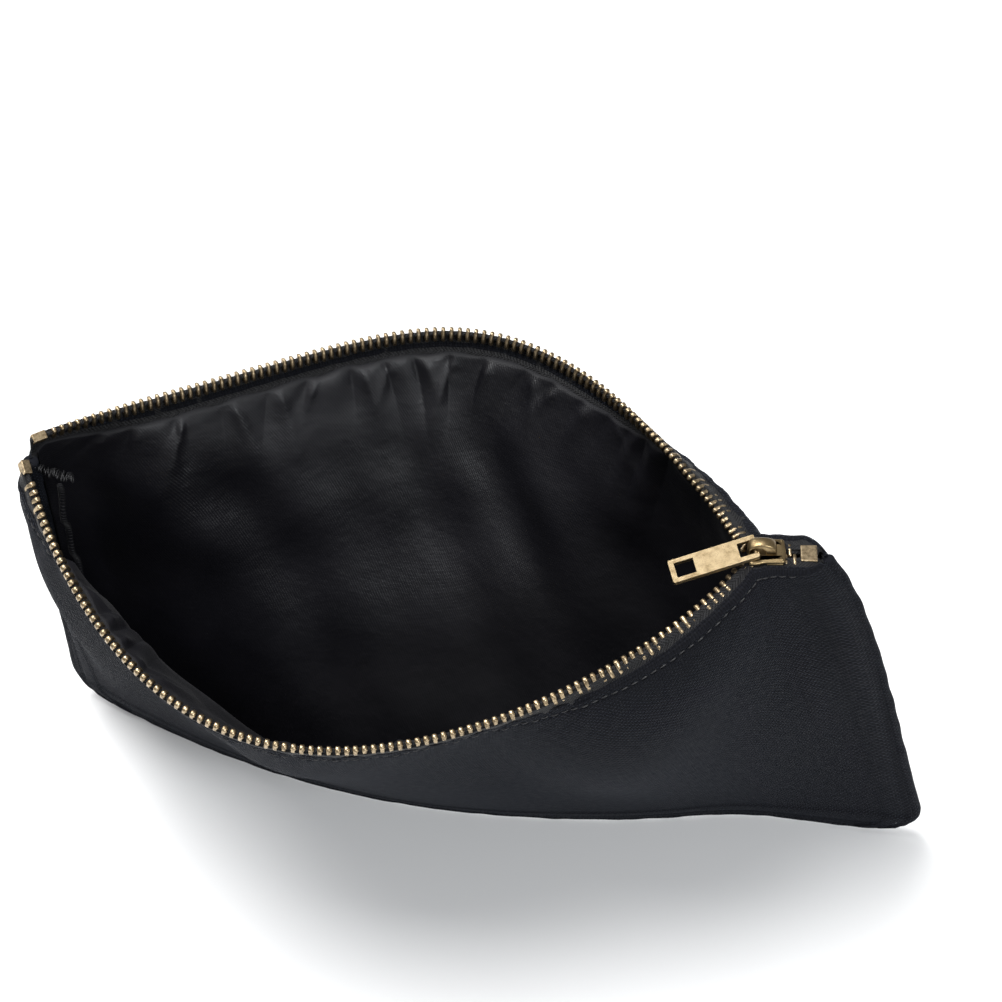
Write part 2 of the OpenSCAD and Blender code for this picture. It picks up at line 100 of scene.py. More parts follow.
# distances over which front and back close to a side seam: rim, below the rim, middle
PINCH_RIM, PINCH_UPPER, PINCH_BELLY = 6.0, 24.0, 60.0
LEAD = (26.0, 40.0)              # length of the cloth's upper handle under a level, upright tape
ROW_Z = MOUTH_HEIGHT - CLOTH_AIR - TAPE_THICK / 2

# ---------------------------------------------------------------- curves and cloth surface


def unit(a):
    """Vectors along the last axis, made one long."""
    return a / np.maximum(np.linalg.norm(a, axis=-1, keepdims=True), 1e-12)


def mix(a, b, t):
    return a + (b - a) * t


def ease(t):
    """Smooth step from 0 to 1."""
    c = np.clip(t, 0.0, 1.0)
    return c * c * (3 - 2 * c)


def col(a):
    return np.asarray(a, float)[..., None]


def hump(x, middle, width):
    """A smooth bump of height one."""
    return np.exp(-((x - middle) / width) ** 2)


def distances(points):
    """Distance from the first point to each point of a polyline."""
    steps = np.linalg.norm(np.diff(points, axis=0), axis=1)
    return np.concatenate([[0], np.cumsum(steps)])


def bezier(points, t):
    """Curve pulled towards its handles by the binomial weights; points are (..., 3) arrays."""
    n = len(points) - 1
    return sum(col(comb(n, k) * (1 - t) ** (n - k) * t ** k) * p for k, p in enumerate(points))


MOUTH_ALONG = np.array([math.cos(MOUTH_TURN), -math.sin(MOUTH_TURN)])
MOUTH_ACROSS = np.array([math.sin(MOUTH_TURN), math.cos(MOUTH_TURN)])


def plan(d, w):
    """Seen from above, measured from the slider's nose: d runs along the mouth from its left
    end, w runs across it towards the back."""
    return MOUTH_ALONG * (d - MOUTH_LENGTH) + MOUTH_ACROSS * w


base_shape = [plan(-BASE_LEAD, 25), plan(0.44 * BASE_LENGTH - BASE_LEAD, -25),
              plan(0.62 * BASE_LENGTH - BASE_LEAD, 13), plan(BASE_LENGTH - BASE_LEAD, 19)]
NOSE = -(base_shape[0] + 3 * base_shape[1] + 3 * base_shape[2] + base_shape[3]) / 8
LEFT = plan(0, 0) + NOSE
base_curve = [np.append(p + NOSE, SEAM_HEIGHT + SEAM_AIR) for p in base_shape]
CURVE_POINTS = 401


def measured(points):
    """Distances along a curve at even steps of its parameter, and the steps."""
    t = np.linspace(0, 1, CURVE_POINTS)
    return distances(bezier(points, t)), t


def rim(side):
    """Handles of the curve that one cord line follows round the open mouth."""
    k = SIGN[side]
    start = np.append(plan(0, k * END_GAP) + NOSE, MOUTH_HEIGHT)
    end = np.array([NOSE[0], NOSE[1] + k * NOSE_GAP, MOUTH_HEIGHT])
    inner = [np.append(plan(h[0] * MOUTH_LENGTH, k * h[1] * BULGE[side]) + NOSE,
                       MOUTH_HEIGHT - h[2] * DIP[side]) for h in HANDLES[side]]
    return [start] + inner + [end]


RIMS = (rim(FRONT), rim(BACK))
RIM_TABLES = (measured(RIMS[0]), measured(RIMS[1]))
OPEN = (RIM_TABLES[0][0][-1], RIM_TABLES[1][0][-1])
RUN = (OPEN[0] + CLOSED, OPEN[1] + CLOSED)
BASE_TABLE = measured(base_curve)
BASE_RUN = BASE_TABLE[0][-1]


def chain(side, s):
    """The cord line of one tape, a distance s from its left end."""
    s = np.asarray(s, float)
    curve = bezier(RIMS[side], np.interp(s, *RIM_TABLES[side]))
    past = np.maximum(s - OPEN[side], 0)
    gap = mix(NOSE_GAP, CORD_GAP, np.clip(past / MERGE, 0, 1))
    straight = np.stack([NOSE[0] + past, NOSE[1] + SIGN[side] * gap,
                         np.full_like(s, MOUTH_HEIGHT)], -1)
    return np.where(col(s <= OPEN[side]), curve, straight)


def along(side, s, h=0.6):
    """Direction of the chain, from points h before and after."""
    return unit(chain(side, np.minimum(s + h, RUN[side])) - chain(side, np.maximum(s - h, 0)))


def stand(side, s):
    """Angle of the tape above level: flat at the closed end, upright round the mouth."""
    left = ease(s / LEFT_RAMP)
    right = ease((OPEN[side] - s + RAMP_LEAD) / RIGHT_RAMP)
    return mix(STAND_LEFT, STAND_OPEN[side], left) * right


def raised(side, s, span, angle):
    """Square to the chain's mean course over a span to both sides, raised by an angle."""
    t = along(side, s, span)
    k = -SIGN[side]
    level = unit(np.stack([-k * t[..., 1], k * t[..., 0], 0 * t[..., 0]], -1))
    a = np.radians(angle)
    return level * col(np.cos(a)) + np.array([0, 0, 1.0]) * col(np.sin(a))


def reach(side, s):
    """Direction from the canvas up the tape to the teeth."""
    t = along(side, s)
    raw = raised(side, s, 0.6, stand(side, s))
    return unit(raw - t * np.sum(raw * t, -1, keepdims=True))


def fall(side, s):
    """Direction in which the cloth leaves the lip, pointing up."""
    a = stand(side, s)
    return raised(side, s, FALL_SPAN, mix(FALL_LEVEL, a, np.clip(a / FALL_FULL, 0, 1)))


def pinch(side, u, length):
    """0 at the side seams, rising to 1 over a length of rim."""
    return ease(np.minimum(u, 1 - u) * RUN[side] / length)


LEFT_TOP = np.array([LEFT[0] + LEFT_LIP_IN, LEFT[1], MOUTH_HEIGHT - LEFT_LIP])
RIGHT_TOP = np.array([NOSE[0] + CLOSED, NOSE[1], MOUTH_HEIGHT - RIGHT_LIP])


def lip(side, u):
    """Upper edge of the canvas."""
    s = u * RUN[side]
    free = chain(side, s) - raised(side, s, LIP_SPAN, stand(side, s)) * TAPE_SHOWN
    seam = np.where(col(u < 0.5), LEFT_TOP, RIGHT_TOP) + [0, SIGN[side] * HALF_STACK, 0]
    return mix(seam, free, col(pinch(side, u, PINCH_RIM)))


def base_at(u):
    """The bottom seam: a bow with a slight wave near the right corner."""
    wave = BASE_WAVE * hump(u, WAVE_PLACE, WAVE_SPREAD)
    return (bezier(base_curve, np.interp(u * BASE_RUN, *BASE_TABLE))
            + np.array([0, 1.0, 0]) * col(wave))


def inset(v):
    """How far a rounded bottom corner draws the side in: a quarter circle."""
    h = np.asarray(v) * (MOUTH_HEIGHT - SEAM_HEIGHT)
    part = np.sqrt(np.maximum(CORNER_RADIUS ** 2 - (CORNER_RADIUS - h) ** 2, 0))
    return np.where(h >= CORNER_RADIUS, 0, CORNER_RADIUS - part)


def cloth(side, u0, v):
    """Inside face of the canvas: a cubic from the bottom seam (v 0) to the lip (v 1)."""
    u0, v = np.broadcast_arrays(np.asarray(u0, float), np.asarray(v, float))
    u = 0.5 + (u0 - 0.5) * (1 - 2 * inset(v) / BASE_RUN)
    s = u * RUN[side]
    outward = np.array([0, SIGN[side], 0])
    low = base_at(u) + outward * HALF_STACK
    high = lip(side, u)
    upper = col(pinch(side, u, PINCH_UPPER))
    belly = pinch(side, u, PINCH_BELLY)
    lead = col(mix(*LEAD, ease(stand(side, s) / 90))) * upper
    first = mix(low, high, 0.33) + outward * BELLY[side] * col(belly)
    swell = np.where(u < 0.5, 0.0, END_SWELL) * (1 - belly)
    second = (mix(mix(low, high, 0.8), high - fall(side, s) * lead, upper)
              + np.array([1.0, 0, 0]) * col(swell))
    return bezier([low, first, second, high], v)


def past_lip(side, u, w):
    """A point on the mouth's tape plane, w millimetres above the canvas edge, and the
    direction that faces out of the pouch there."""
    edge = lip(side, u)
    up = unit(chain(side, u * RUN[side]) - edge)
    face = unit(np.cross(along(side, u * RUN[side]), up)) * -SIGN[side]
    return edge + up * col(w), face


def cloth_normal(side, u, v):
    """Unit vectors pointing out of the pouch, from points a small step h to each side."""
    h = 0.004
    across = cloth(side, np.minimum(u + h, 1), v) - cloth(side, np.maximum(u - h, 0), v)
    upward = cloth(side, u, np.minimum(v + h, 1)) - cloth(side, u, np.maximum(v - h, 0))
    return unit(np.cross(across, upward)) * -SIGN[side]


def between(u, v):
    """Middle of the two panels, which meet at the side seams (u 0 and 1)."""
    return (cloth(FRONT, u, v) + cloth(BACK, u, v)) / 2


def cord_centre(side, s):
    """Line that the teeth grip: the chain moved inwards to the tape's middle."""
    outward = unit(np.cross(along(side, s), reach(side, s))) * -SIGN[side]
    return chain(side, s) - outward * (CLOTH_AIR + TAPE_THICK / 2)


# ---------------------------------------------------------------- mesh makers


def new_mesh(name, points, faces, uv=None, smooth=True):
    """Makes an object from points in millimetres; uv is one pair for each face corner."""
    mesh = bpy.data.meshes.new(name)
    mesh.from_pydata((points * MM).tolist(), [], faces)
    if uv is not None:
        layer = mesh.uv_layers.new(name="UVMap")
        layer.data.foreach_set("uv", np.asarray(uv, np.float32).ravel())
    mesh.polygons.foreach_set("use_smooth", [smooth] * len(mesh.polygons))
    mesh.update()
    obj = bpy.data.objects.new(name, mesh)
    bpy.context.scene.collection.objects.link(obj)
    return obj


def ring_faces(m, n, wrap, flip):
    """Quads over an m by n grid of points; wrap joins the last column to the first."""
    i, j = np.meshgrid(np.arange(m - 1), np.arange(n if wrap else n - 1), indexing="ij")
    k = (j + 1) % n
    quads = np.stack([i * n + j, i * n + k, (i + 1) * n + k, (i + 1) * n + j], -1)
    quads = quads.reshape(-1, 4)
    return quads[:, ::-1] if flip else quads


def band(name, rings, uv_s, uv_w, flip=False, caps="fan"):
    """A closed skin over rings: an (m, n, 3) array, each ring closed on itself.

    uv_s gives each ring's distance along and uv_w, as long as a ring plus one, the distance
    round it, both in millimetres. caps "strip" closes the ends of a flat ring by joining
    its two halves point to point; "fan" closes them with one face each.
    """
    m, n, _ = rings.shape
    quads = ring_faces(m, n, True, flip)
    i, j = np.meshgrid(np.arange(m - 1), np.arange(n), indexing="ij")
    corners = [(i, j), (i, j + 1), (i + 1, j + 1), (i + 1, j)]
    if flip:
        corners = corners[::-1]
    uv_w = np.broadcast_to(np.asarray(uv_w, float), (m, n + 1))
    uv_s = np.broadcast_to(np.asarray(uv_s, float).reshape(m, -1), (m, n + 1))
    uv = np.stack([np.stack([uv_s[a, b], uv_w[a, b]], -1) for a, b in corners], 2)
    uv = uv.reshape(-1, 2) * MM
    faces = quads.tolist()
    ends = []
    for row, back in ((0, not flip), (m - 1, flip)):
        if caps == "fan":
            ring = [row * n + j for j in range(n)]
            ends.append(ring[::-1] if back else ring)
            continue
        for j in range(n // 2 - 1):
            quad = [row * n + j, row * n + j + 1, row * n + n - 2 - j, row * n + n - 1 - j]
            ends.append(quad[::-1] if back else quad)
    spare = np.zeros((sum(len(e) for e in ends), 2))
    return new_mesh(name, rings.reshape(-1, 3), faces + ends, np.concatenate([uv, spare]))


def ovals(centres, first, second, count, half_first, half_second):
    """Rings on a path: a cosine of one half-width along one direction plus a sine of the
    other along the second. Half-widths are one number or one for each ring."""
    a = 2 * math.pi * np.arange(count) / count
    wide, high = (np.asarray(h, float).reshape(-1, 1, 1) for h in (half_first, half_second))
    return (centres[:, None] + first[:, None] * np.cos(a)[:, None] * wide
            + second[:, None] * np.sin(a)[:, None] * high)


def tube_rings(centres, radius, sides, across=(0, 0, 1.0)):
    """Round rings on a path, each square to it."""
    t = unit(np.gradient(centres, axis=0))
    side = unit(np.cross(t, across))
    return ovals(centres, side, np.cross(side, t), sides, radius, radius)


def copies(name, points, faces, frames, origins):
    """One object holding a copy of a small shape at every origin, turned to its frame.

    points is (p, 3); frames is (k, 3, 3) with the shape's own axes as rows.
    """
    placed = np.einsum("pi,kij->kpj", points, frames) + origins[:, None]
    step = len(points)
    all_faces = [[v + k * step for v in f] for k in range(len(origins)) for f in faces]
    return new_mesh(name, placed.reshape(-1, 3), all_faces)


def loft(sections):
    """Points and faces of a closed form through rings of equal point counts."""
    m, n, _ = sections.shape
    faces = ring_faces(m, n, True, False).tolist()
    faces.append(list(range(n))[::-1])
    faces.append([(m - 1) * n + j for j in range(n)])
    return sections.reshape(-1, 3), faces


def ripple(x, seed, count, low, high):
    """A smooth random wave of x: count sines with wavelengths between low and high."""
    rng = np.random.default_rng(seed)
    lengths = np.exp(rng.uniform(math.log(low), math.log(high), count))
    phases = rng.uniform(0, 2 * math.pi, count)
    total = sum(np.sin(2 * math.pi * x / wave + p) for wave, p in zip(lengths, phases))
    return total / math.sqrt(count)


# ---------------------------------------------------------------- canvas panels

PANEL_DEPTH = 150.0              # from the lip down the cloth to the bottom seam
ALLOWANCE, STEP_WIDTH = 8.0, 1.6  # folded seam allowance, and how soon its step rises
FOLD_TOP = 1.32                  # reach of the folded edge's flat part above the CAD's lip


def canvas_relief(side, s, w):
    """How far the canvas swells outwards: s along the rim, w down from the lip, in mm.

    Small puckers hang from the stitch line and fade; a shallow groove holds the stitches;
    the folded seam allowance shows as a step beside each side seam and the bottom.
    """
    pucker = ripple(s + 0.15 * w, 11 + side, 6, 7, 19) * 0.30 * hump(w, 6, 9)
    groove = -0.35 * hump(w, 2.3, 0.8)
    folds = ripple(s + 0.55 * w, 21 + side, 5, 55, 120) * 1.1 * hump(w, 55, 40)
    from_end = np.minimum(s, RUN[side] - s)
    below = ease((w - 4) / 10)
    allowance = 0.55 * (1 - ease((from_end - ALLOWANCE) / STEP_WIDTH)) * below
    notch = -0.45 * hump(from_end, 2.6, 0.9) * below
    up = PANEL_DEPTH - w
    hem = 0.5 * (1 - ease((up - ALLOWANCE) / STEP_WIDTH)) - 0.4 * hump(up, 2.2, 0.9)
    edge = ease(from_end / 12)
    return pucker * edge + groove * edge + folds * edge + allowance + notch + hem


def canvas_panel(side, name):
    """The panel as one closed skin: up the outside, over the folded lip, down the inside."""
    u = np.linspace(0, 1, 321)
    u = mix(u, ease(u), 0.25)
    v = np.concatenate([np.linspace(0, 0.09, 13)[:-1], np.linspace(0.09, 0.88, 56)[:-1],
                        np.linspace(0.88, 1.0, 26)])
    uu, vv = np.meshgrid(u, v, indexing="ij")
    surface = cloth(side, uu, vv)
    normal = cloth_normal(side, uu, vv)
    s, w = uu * RUN[side], (1 - vv) * PANEL_DEPTH
    swell = canvas_relief(side, s, w)
    outer = surface + normal * (CANVAS + swell)[..., None]
    inner = surface + normal * (0.25 * swell)[..., None]
    steps = np.linspace(0, FOLD_TOP, 5)[1:]
    steps_w = 0.3 * np.arange(1, 5)
    rim_s = s[:, :1] + 0 * steps
    free = ease(np.minimum(rim_s, RUN[side] - rim_s) / 9)
    ledge, face = past_lip(side, rim_s / RUN[side], steps * free)
    wave = ripple(rim_s, 17 + side, 5, 5, 14) * 0.12 * free
    outer = np.concatenate([outer, ledge + face * (CANVAS + wave)[..., None]], 1)
    inner = np.concatenate([inner, ledge + face * (0.05 + 0.5 * wave)[..., None]], 1)
    top_out, top_in = outer[:, -1], inner[:, -1]
    up = unit(ledge[:, -1] - ledge[:, -2])
    a = np.linspace(0, math.pi, 8)[1:-1]
    mid, half = (top_out + top_in) / 2, (top_out - top_in) / 2
    fold = (mid[:, None] + half[:, None] * np.cos(a)[:, None]
            + up[:, None] * (np.sin(a) * 0.65)[:, None])
    rings = np.concatenate([outer, fold, inner[:, ::-1]], 1)
    out_w = np.concatenate([w[0], -steps_w])
    down = np.concatenate([out_w, -1.2 - 0.3 * np.arange(1, 7), -4 - out_w[::-1],
                           [-4.2 - w[0][0]]])
    return band(name, rings, s[:, 0], down, flip=(side == BACK), caps="strip")


RIDGE_OUT, RIDGE_DROP = 0.4, 1.2  # ridge's middle beyond the side joins and below the base
RIDGE_WIDE, RIDGE_LONG = 1.95, 2.3
RIDGE_TOP = 0.993


def turned_edge(name):
    """The turned seam round both sides and the bottom: one soft ridge that closes the gap
    between the panels, its section an oval that thickens and thins a little."""
    v = np.linspace(RIDGE_TOP, 0.0, 150) ** 1.15
    left = between(np.zeros_like(v), v) + [-RIDGE_OUT, 0, 0]
    right = between(np.ones_like(v), v)[::-1] + [RIDGE_OUT, 0, 0]
    shrink = CORNER_RADIUS / BASE_RUN
    bottom = base_at(mix(shrink, 1 - shrink, np.linspace(0, 1, 200)[1:-1]))
    path = np.concatenate([left, bottom - [0, 0, RIDGE_DROP], right])
    for _ in range(6):  # rounds the corners where side and bottom meet
        path[1:-1] = (path[:-2] + 2 * path[1:-1] + path[2:]) / 4
    run = distances(path)
    t = unit(np.gradient(path, axis=0))
    out = unit(np.cross(t, [0, 1.0, 0]))
    rings = ovals(path, np.cross(out, t), out, 16, RIDGE_WIDE + 0.10 * ripple(run, 5, 5, 6, 25),
                  RIDGE_LONG + 0.15 * ripple(run, 6, 5, 8, 30))
    rings[..., 2] = np.maximum(rings[..., 2], 0.05)  # stays above the floor
    return band(name, rings, run, 0.9 * np.arange(17))


# ---------------------------------------------------------------- lining

PINCHES = 60                     # more than the rim has room for
LINING_DROP = 1.8                # its top below the canvas's lip
LINING_SKIN = 0.22
LINING_MARGIN = 3.0              # its side edges in from the side seams


def gathers(side, s, w):
    """How far the lining stands in from the canvas: s along the rim, w down from its top.

    The seam pinches the satin at uneven steps. Between two pinches it swells into a pillow
    with sharp valleys beside it; both fade downwards. A crease runs down from every pinch,
    leaning and widening, and broad soft folds take over lower down.
    """
    rng = np.random.default_rng(31 + side)
    pinches = np.cumsum(rng.uniform(6.5, 15.5, PINCHES)) - 8
    lean = 0.35 * ripple(s, 35 + side, 4, 60, 160) - 0.15
    cell = np.interp(s - lean * w, pinches, np.arange(PINCHES))
    index = np.clip(cell.astype(int), 0, PINCHES - 1)
    heights, lengths = rng.uniform(0.7, 1.9, PINCHES), rng.uniform(11, 30, PINCHES)
    pillow = np.abs(np.sin(math.pi * cell)) ** 0.75 * heights[index]
    total = pillow * (1 - np.exp(-w / 2.2)) * np.exp(-(w / lengths[index]) ** 2)
    for start in pinches[pinches < RUN[side]]:
        tilt = rng.uniform(-0.55, 0.55)
        length = rng.choice([16, 26, 42, 80]) * rng.uniform(0.8, 1.2)
        height = rng.uniform(0.6, 1.7)
        width = rng.uniform(0.9, 1.6) + 0.13 * w
        ridge = np.exp(-np.abs((s - start - 3 - tilt * w) / width) ** 1.7)
        total += height * ridge * ease(w / 6) * np.exp(-(w / length) ** 2)
    fade = 1 - 0.65 * ease((w - 45) / 50)
    broad = ripple(s - 0.5 * w, 41 + side, 5, 28, 75) * 1.5 * ease((w - 8) / 40) * fade
    level = ripple(w + 0.12 * s, 51 + side, 3, 30, 60) * 0.8 * ease((w - 15) / 40)
    slack = 3.2 * ease(w / 30)
    ends = ease((np.minimum(s, RUN[side] - s) - 5) / 26)
    return np.maximum((total + broad + level + slack) * ends, 0.0)


def lining_panel(side, name):
    """Satin that hangs from the tape to the bottom seam, a thin closed skin: the canvas's
    inside face moved inwards by the gathers, never past the middle of the pouch."""
    margin = LINING_MARGIN / BASE_RUN
    u = np.linspace(margin, 1 - margin, 561)
    top = 1 - LINING_DROP / PANEL_DEPTH
    v = np.concatenate([np.linspace(0.012, 0.6, 34)[:-1], np.linspace(0.6, 0.85, 36)[:-1],
                        np.linspace(0.85, top, 40)])
    uu, vv = np.meshgrid(u, v, indexing="ij")
    surface = cloth(side, uu, vv)
    normal = cloth_normal(side, uu, vv)
    s, w = uu * RUN[side], (top - vv) * PANEL_DEPTH
    low = ease(vv / 0.25)
    turned_under = 0.45 * (1 - ease(w / 0.9))
    depth = 0.95 * ease(vv / 0.05) + 0.15 + gathers(side, s, w) * low - turned_under
    room = 0.5 * np.linalg.norm(cloth(BACK, uu, vv) - cloth(FRONT, uu, vv), axis=-1)
    depth = np.minimum(depth, np.maximum(room - 0.12, 0.3))
    inward = surface - normal * depth[..., None]
    behind = inward + normal * LINING_SKIN
    waver = ripple(s, 61 + side, 5, 9, 22) * 0.3 * np.exp(-w / 2.5)
    inward[..., 2] += waver
    behind[..., 2] += waver
    rings = np.concatenate([inward, behind[:, ::-1]], 1)
    down = np.concatenate([w[0], w[0][::-1], w[0][:1]])
    return band(name, rings, s[:, 0], down, flip=(side == FRONT), caps="strip")


# ---------------------------------------------------------------- zipper tape and cord

TAPE_ROWS_HIDDEN = np.array([7.0, 3.5, 0.6])  # drops below the lip, behind the canvas
CORD_RADIUS, CORD_TWIST = 0.72, 1.25


def tape_strip(side, name):
    """Woven tape: a thin skin from behind the canvas up to the cord, with a raised cord
    edge and a slight wave along its length."""
    first, last = 0.8 / RUN[side], 1 - 0.6 / RUN[side]
    u = np.linspace(first, last, 460)
    s = u * RUN[side]
    edge = lip(side, u)
    cord = chain(side, s)
    up = unit(cord - edge)
    face = unit(np.cross(along(side, s), up)) * SIGN[side]
    shown = np.linspace(0, 1, 12)[1:]
    middle = CLOTH_AIR + TAPE_THICK / 2
    uu, vv = np.meshgrid(u, 1 - TAPE_ROWS_HIDDEN / PANEL_DEPTH, indexing="ij")
    hidden = cloth(side, uu, vv) - cloth_normal(side, uu, vv) * middle
    open_rows = mix(edge[:, None], cord[:, None], shown[:, None]) - face[:, None] * middle
    rows = np.concatenate([hidden, open_rows], 1)
    out = np.concatenate([np.stack([cloth_normal(side, u, np.full_like(u, 0.99))] * 3, 1),
                          np.stack([face] * len(shown), 1)], 1)
    width = np.concatenate([-TAPE_ROWS_HIDDEN, shown * TAPE_SHOWN])
    wave = ripple(s[:, None] + 0 * width, 71 + side, 5, 6, 16) * 0.10
    thick = 0.26 + 0.22 * hump(width, 4.3, 0.7)
    outer = rows + out * (wave + thick)[..., None]
    inner = rows + out * (wave - thick)[..., None]
    rings = np.concatenate([outer, inner[:, ::-1]], 1)
    round_w = np.concatenate([width, 20 - width[::-1], [20 - width[0]]])
    return band(name, rings, s, round_w, flip=(side == BACK), caps="strip")


def cord_tube(side, name):
    """The tape's cord edge: a round tube whose radius swells a little with each twist."""
    s = np.linspace(0.8, RUN[side] - 1.5, 420)
    r = reach(side, s)
    radius = CORD_RADIUS + 0.05 * np.sin(2 * math.pi * s / CORD_TWIST)
    rings = ovals(cord_centre(side, s), r, np.cross(along(side, s), r), 8, radius, radius)
    return band(name, rings, s, 0.6 * np.arange(9))


# ---------------------------------------------------------------- teeth and stops


def tooth_shape():
    """One tooth, lofted from its clamped heel to its rounded tip: x along the tape, y to
    the tip, z across the tape. Each section is a rounded box; a small nib stands on the
    head and the head is dished on its other side."""
    y = np.array([-2.4, -2.2, -1.2, -0.1, 0.45, 0.9, 1.35, 1.7, 1.9])
    half_x = np.array([0.34, 0.5, 0.56, 0.56, 0.50, 0.53, 0.55, 0.46, 0.25])
    half_z = np.array([0.9, 1.2, 1.36, 1.38, 1.22, 1.02, 0.95, 0.8, 0.45])
    a = 2 * math.pi * (np.arange(8) + 0.5) / 8
    cx = np.sign(np.cos(a)) * np.abs(np.cos(a)) ** 0.55
    cz = np.sign(np.sin(a)) * np.abs(np.sin(a)) ** 0.55
    x = half_x[:, None] * cx
    z = half_z[:, None] * cz
    head = (y > 0.8) & (y < 1.6)
    x[head] += 0.10 * (np.abs(cz) < 0.6)
    rings = np.stack([x, np.broadcast_to(y[:, None], x.shape), z], -1)
    return loft(rings[:, ::-1])


TOOTH_WIDEN = (1.45, 1.15)       # the open teeth are drawn wider than the meshed ones
FIRST_TOOTH_AIR = 1.4            # between the top stop and the row's first tooth


def chain_frames(side, s):
    """Axes of each tooth: along the tape, up the tape to the tip, and across it."""
    x = along(side, s)
    y = reach(side, s)
    return np.stack([x, y, np.cross(x, y)], 1)


def teeth_row(side, name):
    """Teeth at even pitch from the box stop to the top stop; the back row starts half a pitch
    further from the box stop, and each open tooth sits slightly off its place."""
    phase = BOTTOM_STOP + STOP_AIR + TAIL + PITCH * (0.5 if side == FRONT else 1.0)
    start = TOP_STOP + FIRST_TOOTH_AIR + TOOTH_WIDTH
    count = int((RUN[side] - phase - start) // PITCH)
    s = RUN[side] - phase - PITCH * np.arange(count + 1)
    rng = np.random.default_rng(81 + side)
    s = s + rng.uniform(-0.05, 0.05, len(s)) * (s < OPEN[side] - 4)
    points, faces = tooth_shape()
    turned = chain_frames(side, s)
    turned[:, 0] *= np.where(s < OPEN[side] - 1, TOOTH_WIDEN[side], 1.0)[:, None]
    return copies(name, points, faces, turned, cord_centre(side, s))


BEVEL_SEGMENTS, BEVEL_ANGLE = 3, math.radians(30.0)
MERGE_DISTANCE, FLAT_ANGLE = 1e-6, math.radians(1.0)


def cad_copy(node, name, width):
    """A CAD piece with softened edges: its mesh merged, flat faces joined, edges rounded."""
    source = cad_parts[node]
    mesh = source.data.copy()
    obj = bpy.data.objects.new(name, mesh)
    bpy.context.scene.collection.objects.link(obj)
    obj.matrix_world = source.matrix_world
    bm = bmesh.new()
    bm.from_mesh(mesh)
    bmesh.ops.remove_doubles(bm, verts=bm.verts, dist=MERGE_DISTANCE)
    bmesh.ops.dissolve_limit(bm, angle_limit=FLAT_ANGLE, verts=bm.verts, edges=bm.edges)
    bm.to_mesh(mesh)
    bm.free()
    mesh.transform(obj.matrix_world)
    obj.matrix_world = Matrix.Identity(4)
    bevel = obj.modifiers.new("Rounded edges", "BEVEL")
    bevel.width = width * MM
    bevel.segments = BEVEL_SEGMENTS
    bevel.limit_method = "ANGLE"
    bevel.angle_limit = BEVEL_ANGLE
    mesh.polygons.foreach_set("use_smooth", [False] * len(mesh.polygons))
    mesh.materials.clear()
    return obj


# ---------------------------------------------------------------- thread work

STITCH_DROP, STITCH_PITCH, STITCH_AIR = 2.2, 2.9, 0.12
STITCH_MARGIN = 8.0
OVERLOCK_IN = 17.0               # the lining's side seam, in from the pouch's
OVERLOCK_HALF = (0.85, 0.45)
COIL_HALF, COIL_PITCH = (0.95, 0.6), 1.1
BARTACK_IN = 9.0                 # along each rim from its left end
BARTACK_MOVE = (2.5, 0, -2.4)    # from the middle between the two lips there
BARTACK_TURNS = 31


def stitch_shape():
    """A short thread lying on cloth: a bead that dips into the cloth at both ends."""
    x = np.array([-1.15, -1.0, -0.5, 0.0, 0.5, 1.0, 1.15])
    r = np.array([0.08, 0.19, 0.23, 0.24, 0.23, 0.19, 0.08])
    lift = np.array([-0.28, -0.1, 0.05, 0.1, 0.05, -0.1, -0.28])
    a = 2 * math.pi * np.arange(6) / 6
    rings = np.stack([np.broadcast_to(x[:, None], (len(x), len(a))), r[:, None] * np.cos(a),
                      lift[:, None] + r[:, None] * np.sin(a)], -1)
    return loft(rings)


def topstitch(side, name):
    """Stitches in the groove below the lip, each turned along the rim."""
    s = np.arange(STITCH_MARGIN, RUN[side] - STITCH_MARGIN, STITCH_PITCH)
    u = s / RUN[side]
    v = np.full_like(u, 1 - STITCH_DROP / PANEL_DEPTH)
    n = cloth_normal(side, u, v)
    x = unit(cloth(side, u + 0.004, v) - cloth(side, u - 0.004, v))
    y = np.cross(n, x)
    swell = canvas_relief(side, s, (1 - v) * PANEL_DEPTH)
    origin = cloth(side, u, v) + n * (CANVAS + swell + STITCH_AIR)[:, None]
    points, faces = stitch_shape()
    return copies(name, points, faces, np.stack([x, y, n], 1), origin)


def overlock(name, u, toward, waver):
    """Overlocked edge of the lining's side seam: a thin folded strip wrapped by a thread
    that coils round it."""
    v = np.linspace(0.3, 0.955 if waver else 0.85, 240)
    mid = between(np.full_like(v, u + toward * OVERLOCK_IN / BASE_RUN), v)
    run = distances(mid)
    t = unit(np.gradient(mid, axis=0))
    wide = unit(np.cross(t, [0, 1.0, 0]))
    thick = np.cross(wide, t)
    mid = mid + thick * (waver * ripple(run, 91, 4, 14, 40))[:, None]
    strip = ovals(mid, wide, thick, 12, *OVERLOCK_HALF)
    body = band(name + "_strip", strip, run, 0.9 * np.arange(13))
    k = np.linspace(0, run[-1], int(run[-1] / COIL_PITCH) * 14)
    centre, wide, thick = (np.stack([np.interp(k, run, p[:, i]) for i in range(3)], -1)
                           for p in (mid, wide, thick))
    a = 2 * math.pi * k / COIL_PITCH
    path = (centre + wide * (COIL_HALF[0] * np.cos(a))[:, None]
            + thick * (COIL_HALF[1] * np.sin(a))[:, None])
    coil = band(name, tube_rings(path, 0.13, 5, (0.1, 1.0, 0.2)), k, 0.3 * np.arange(6))
    return body, coil


def scatter(rng, k, count, most):
    """A wandering line through random values, evenly spaced over k from 0 to 1."""
    return np.interp(k, np.linspace(0, 1, count), rng.uniform(-most, most, count))


